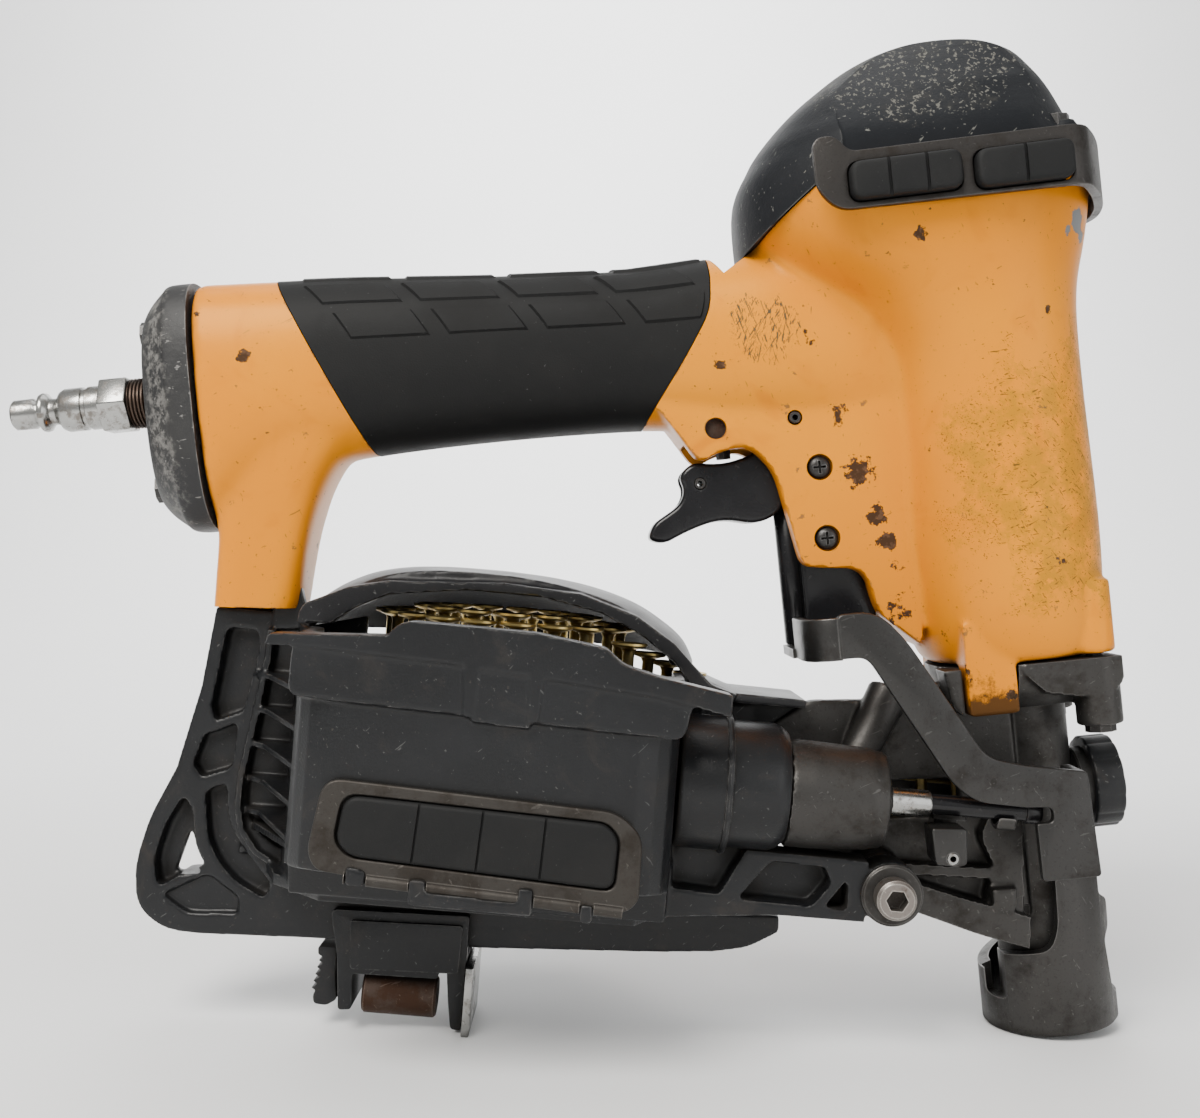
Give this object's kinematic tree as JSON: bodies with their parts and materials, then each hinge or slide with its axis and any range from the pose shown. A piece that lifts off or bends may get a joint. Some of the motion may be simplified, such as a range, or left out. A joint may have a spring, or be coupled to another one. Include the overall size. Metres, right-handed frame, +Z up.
{
  "type": "coil roofing nailer",
  "caption": "Pneumatic coil roofing nailer with a rubber grip, a round nail canister, a spring-loaded contact foot, a trigger and a sliding shingle guide",
  "frame": {"origin": "middle of the outline, at the level of the surface the tool stands on", "axes": "+Z up, +X from the handle towards the head, +Y to the side that the magazine cover opens on"},
  "size_m": [0.3052, 0.122, 0.2688],
  "materials": {
    "black_rubber": "matte moulded rubber",
    "yellow_paint": "satin enamel over a die casting, chipped",
    "black_plastic": "moulded nylon, scuffed",
    "dark_casting": "blackened steel casting",
    "dark_steel": "worn blackened steel",
    "bright_steel": "bright plated steel",
    "yellow_zinc": "yellow chromate zinc on steel nails"
  },
  "bodies": {
    "trigger": {"trigger_body": "black_plastic", "lever_pin": "dark_steel"},
    "trip_lever": {"trip_lever_plate": "dark_steel"},
    "valve_stem_body": {"valve_stem": "bright_steel"},
    "work_contact": {"contact_arm": "dark_steel", "contact_foot": "dark_steel", "trip_pusher": "black_plastic"},
    "depth_knob": {"depth_knob_wheel": "black_plastic"},
    "driver": {"drive_piston": "dark_casting", "driver_blade": "bright_steel"},
    "head_valve": {"head_valve_ring": "black_plastic", "head_valve_spring": "dark_steel"},
    "feed_slide_body": {"feed_piston": "bright_steel", "feed_spring": "dark_steel"},
    "pawl": {"feed_pawl": "dark_steel"},
    "door": {"nose_door": "dark_casting"},
    "door_catch": {"door_latch": "dark_steel"},
    "cover": {"magazine_cover": "black_plastic", "far_wear_plate": "dark_steel", "far_wear_pad": "black_rubber"},
    "platform": {"nail_platform": "black_plastic"},
    "coil": {"nail_coil": "yellow_zinc"},
    "guide": {"guide_carriage": "black_plastic", "guide_barrel": "dark_steel", "guide_stop_plate": "bright_steel"},
    "guide_lever": {"guide_lock_lever": "black_plastic"},
    "tool_body": {"housing": "yellow_paint", "handle_grip": "black_rubber", "end_cap": "black_plastic", "end_cap_screw_upper": "dark_steel", "end_cap_screw_lower": "dark_steel", "air_plug": "bright_steel", "head_cap": "black_plastic", "cap_screw_1": "dark_steel", "cap_screw_2": "dark_steel", "cap_screw_3": "dark_steel", "cap_screw_4": "dark_steel", "skid_band": "dark_steel", "skid_pad_near": "black_rubber", "skid_pad_far": "black_rubber", "cylinder_sleeve": "bright_steel", "piston_bumper": "black_rubber", "trigger_pin": "dark_steel", "trigger_valve_body": "black_plastic", "trip_guide": "black_plastic", "trip_guide_screw_upper": "dark_steel", "trip_guide_screw_lower": "dark_steel", "nose": "dark_casting", "nose_screw_1": "dark_steel", "nose_screw_2": "dark_steel", "door_pin": "dark_steel", "magazine_body": "black_plastic", "near_wear_plate": "dark_steel", "near_wear_pad": "black_rubber", "leg_pin": "dark_steel", "magazine_washer": "bright_steel", "magazine_screw": "dark_steel", "cover_hinge_pin": "dark_steel", "nail_strip": "yellow_zinc", "feed_cylinder_cap": "black_plastic"}
  },
  "joints": [
    {"name": "trigger_pull", "type": "hinge", "parent": "tool_body", "child": "trigger", "pos_m": [0.06207, 0, 0.16584], "axis": [0, 1, 0], "range_deg": [0, 8], "stiffness_Nm_per_rad": 0.25, "springref_deg": -11.46},
    {"name": "trip_lever_swing", "type": "hinge", "parent": "trigger", "child": "trip_lever", "pos_m": [0.03724, 0, 0.14854], "axis": [0, -1, 0], "range_deg": [0, 9]},
    {"name": "valve_stem_slide", "type": "slide", "parent": "tool_body", "child": "valve_stem_body", "axis": [-0.0976, 0, 0.9952], "range_m": [0, 0.0025]},
    {"name": "contact_trip", "type": "slide", "parent": "tool_body", "child": "work_contact", "axis": [-0.0976, 0, 0.9952], "range_m": [0, 0.01], "stiffness_N_per_m": 700, "springref_m": -0.03},
    {"name": "depth_adjust", "type": "hinge", "parent": "tool_body", "child": "depth_knob", "pos_m": [0.14247, 0, 0.06631], "axis": [0.9952, 0, 0.0976], "range_deg": [-180, 180]},
    {"name": "drive_stroke", "type": "slide", "parent": "tool_body", "child": "driver", "axis": [-0.0976, 0, 0.9952], "range_m": [-0.07, 0]},
    {"name": "head_valve_lift", "type": "slide", "parent": "tool_body", "child": "head_valve", "axis": [-0.0976, 0, 0.9952], "range_m": [0, 0.003], "stiffness_N_per_m": 900, "springref_m": -0.01},
    {"name": "feed_stroke", "type": "slide", "parent": "tool_body", "child": "feed_slide_body", "axis": [0.9968, 0, -0.0802], "range_m": [-0.011, 0], "stiffness_N_per_m": 400, "springref_m": 0.02},
    {"name": "pawl_swing", "type": "hinge", "parent": "feed_slide_body", "child": "pawl", "pos_m": [0.10067, -0.021, 0.06491], "axis": [0.0802, 0, 0.9968], "range_deg": [-14, 0], "stiffness_Nm_per_rad": 0.02, "springref_deg": 17.19},
    {"name": "door_swing", "type": "hinge", "parent": "tool_body", "child": "door", "pos_m": [0.11573, 0.0115, 0.05716], "axis": [-0.0976, 0, 0.9952], "range_deg": [-100, 0]},
    {"name": "door_latch_turn", "type": "hinge", "parent": "door", "child": "door_catch", "pos_m": [0.06647, 0.0114, 0.05233], "axis": [-0.0976, 0, 0.9952], "range_deg": [-35, 0], "stiffness_Nm_per_rad": 0.01, "springref_deg": 17.19},
    {"name": "cover_swing", "type": "hinge", "parent": "tool_body", "child": "cover", "pos_m": [-0.02153, 0.034, 0.03638], "axis": [0.9968, 0, -0.0802], "range_deg": [-80, 0]},
    {"name": "platform_height", "type": "slide", "parent": "tool_body", "child": "platform", "axis": [0.0802, 0, 0.9968], "range_m": [0, 0.003]},
    {"name": "coil_turn", "type": "hinge", "parent": "platform", "child": "coil", "pos_m": [-0.01786, 0, 0.08203], "axis": [0.0802, 0, 0.9968], "continuous": true},
    {"name": "guide_setting", "type": "slide", "parent": "tool_body", "child": "guide", "axis": [0.9968, 0, -0.0802], "range_m": [-0.03, 0]},
    {"name": "guide_lever_release", "type": "hinge", "parent": "guide", "child": "guide_lever", "pos_m": [-0.06396, 0, 0.02274], "axis": [0, 1, 0], "range_deg": [0, 25], "stiffness_Nm_per_rad": 0.05, "springref_deg": -17.19}
  ],
  "couplings": [
    {"joint": "trip_lever_swing", "follows": "contact_trip", "rad_per_m": 15.708}
  ]
}
